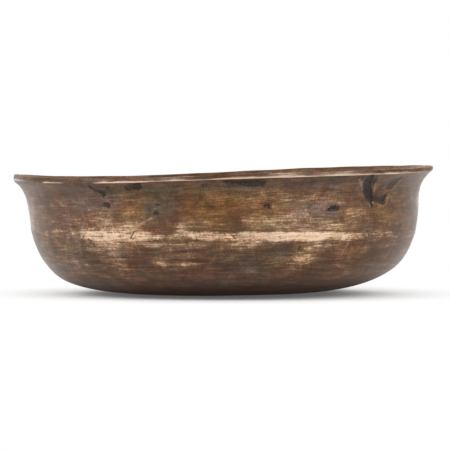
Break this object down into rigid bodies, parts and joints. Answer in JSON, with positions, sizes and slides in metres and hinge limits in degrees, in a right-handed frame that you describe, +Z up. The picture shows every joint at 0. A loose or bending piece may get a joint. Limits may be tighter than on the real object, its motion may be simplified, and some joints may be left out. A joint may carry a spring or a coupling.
{
  "type": "singing bowl",
  "caption": "Shallow hand-beaten bronze singing bowl with a creased, nearly upright wall, a thick flared lip and a small flat foot; it is struck or rubbed to ring.",
  "frame": {"origin": "under the middle of the bowl's outline, on the surface that it stands on", "axes": "+Z up out of the bowl's mouth, +X toward the side of the rim that stands slightly higher"},
  "size_m": [0.18, 0.18, 0.0541],
  "materials": {
    "bronze": "old beaten bronze, brown patina scraped bright in fine level strokes"
  },
  "bodies": {
    "root": {"bowl": "bronze"}
  },
  "joints": []
}
